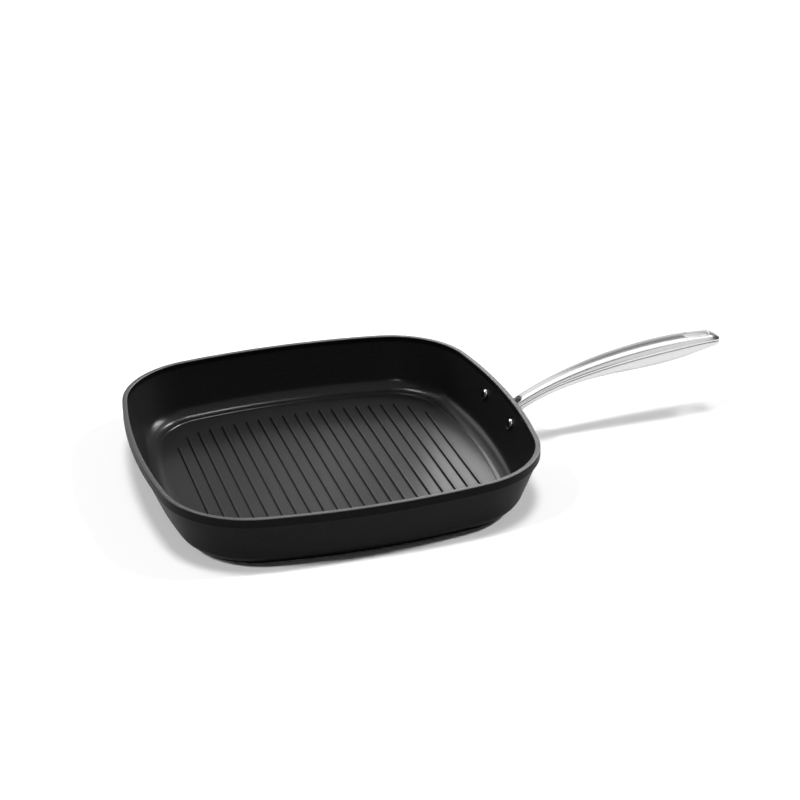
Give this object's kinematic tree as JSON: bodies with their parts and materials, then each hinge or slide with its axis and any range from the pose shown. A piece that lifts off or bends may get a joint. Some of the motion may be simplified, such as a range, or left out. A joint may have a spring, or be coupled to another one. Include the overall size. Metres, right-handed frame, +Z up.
{
  "type": "grill pan",
  "caption": "Square stovetop grill pan with rounded corners, flared walls, a ribbed floor and a long curved hollow metal handle with a hanging slot.",
  "frame": {"origin": "middle of the pan, on the surface that it stands on", "axes": "+X runs out along the handle, the ribs run along Y, +Z is up"},
  "size_m": [0.449, 0.28, 0.071],
  "materials": {
    "dark_body": "satin dark non-stick coating on cast aluminium",
    "plate_steel": "fine turned steel",
    "satin_steel": "satin steel",
    "polished_steel": "polished steel",
    "rivet_metal": "polished rivet"
  },
  "bodies": {
    "root": {"pan_body": "dark_body", "base_plate": "plate_steel", "handle_bracket": "satin_steel", "handle_upper_shell": "polished_steel", "handle_lower_shell": "satin_steel", "hanging_eye": "polished_steel", "rivet_near": "rivet_metal", "rivet_far": "rivet_metal"}
  },
  "joints": []
}
